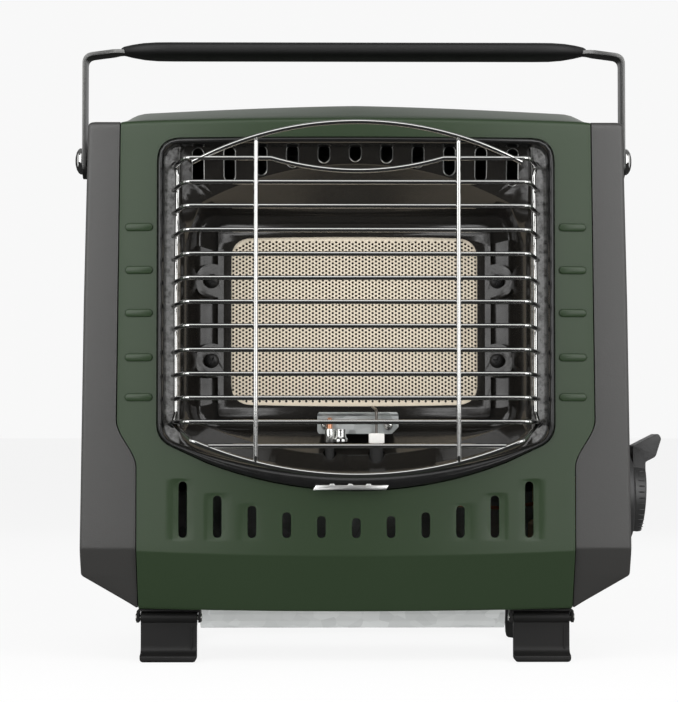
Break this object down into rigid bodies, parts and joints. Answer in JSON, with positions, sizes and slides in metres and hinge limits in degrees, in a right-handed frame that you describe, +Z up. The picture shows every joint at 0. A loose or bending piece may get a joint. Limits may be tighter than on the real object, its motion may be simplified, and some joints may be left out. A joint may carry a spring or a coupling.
{
  "type": "portable gas heater",
  "caption": "Portable radiant gas heater with a carrying handle, a wire guard over a ceramic burner, folding front feet and a rear cartridge door.",
  "frame": {"origin": "on the ground, under the middle of the object's box", "axes": "+X to the heater's right as seen from its front, +Y towards its back, +Z up"},
  "size_m": [0.3093, 0.2304, 0.3216],
  "materials": {
    "green_enamel": "satin powder coat",
    "black_plastic": "fine grained",
    "black_trim": "smooth, slightly glossy",
    "black_steel": "satin black paint",
    "bright_steel": "polished",
    "black_enamel": "glossy black enamel",
    "chrome_wire": "bright plated",
    "zinc_steel": "galvanised, spangled",
    "burner_ceramic": "matt, perforated",
    "white_ceramic": "glazed",
    "brass": "machined",
    "copper": "drawn copper",
    "rubber": "matt",
    "gasket_fibre": "pressed ceramic fibre"
  },
  "bodies": {
    "casing": {"base_pan": "zinc_steel", "bezel_tab": "bright_steel", "bracket_screw_1": "bright_steel", "bracket_screw_2": "bright_steel", "burner_box": "zinc_steel", "burner_frame": "black_steel", "burner_screw_1": "black_steel", "burner_screw_2": "black_steel", "burner_screw_3": "black_steel", "burner_screw_4": "black_steel", "cartridge_clip": "bright_steel", "cartridge_tray": "zinc_steel", "ceramic_plaque": "burner_ceramic", "door_hinge_pin": "bright_steel", "electrode_bracket": "zinc_steel", "electrode_insulator": "white_ceramic", "electrode_rod": "bright_steel", "front_shell": "green_enamel", "gas_jet": "brass", "gas_pipe": "copper", "heat_shield": "zinc_steel", "ignition_lead": "rubber", "inlet_seal": "rubber", "knob_escutcheon": "black_plastic", "left_foot_bracket": "black_steel", "left_foot_pin": "bright_steel", "left_handle_bolt": "chrome_wire", "left_handle_spacer": "zinc_steel", "left_rear_foot": "rubber", "left_side_cover": "black_plastic", "mixing_tube": "zinc_steel", "piezo_igniter": "black_plastic", "plaque_gasket": "gasket_fibre", "rear_cover": "zinc_steel", "reflector": "black_enamel", "regulator_body": "brass", "right_foot_bracket": "black_steel", "right_foot_pin": "bright_steel", "right_handle_bolt": "chrome_wire", "right_handle_spacer": "zinc_steel", "right_rear_foot": "rubber", "right_side_cover": "black_plastic", "thermocouple": "copper", "thermocouple_lead": "copper", "window_bezel": "black_trim", "wire_guard": "chrome_wire"},
    "handle": {"handle_strap": "bright_steel", "handle_grip": "black_plastic"},
    "gas_knob": {"control_knob": "black_plastic", "valve_stem": "brass"},
    "left_front_foot": {"left_foot": "black_steel"},
    "right_front_foot": {"right_foot": "black_steel"},
    "door": {"cartridge_door": "zinc_steel", "door_pull": "black_plastic"}
  },
  "joints": [
    {"name": "handle_swing", "type": "hinge", "parent": "casing", "child": "handle", "pos_m": [-0.0077, -0.01627, 0.259], "axis": [1, 0, 0], "range_deg": [-48, 50]},
    {"name": "knob_turn", "type": "hinge", "parent": "casing", "child": "gas_knob", "pos_m": [-0.0077, -0.00627, 0.0815], "axis": [1, 0, 0], "range_deg": [0, 90]},
    {"name": "left_foot_fold", "type": "hinge", "parent": "casing", "child": "left_front_foot", "pos_m": [-0.1023, -0.05427, 0.022], "axis": [1, 0, 0], "range_deg": [0, 90]},
    {"name": "right_foot_fold", "type": "hinge", "parent": "casing", "child": "right_front_foot", "pos_m": [0.0869, -0.05427, 0.022], "axis": [1, 0, 0], "range_deg": [0, 90]},
    {"name": "door_swing", "type": "hinge", "parent": "casing", "child": "door", "pos_m": [-0.0077, 0.11223, 0.119], "axis": [1, 0, 0], "range_deg": [0, 100]}
  ]
}
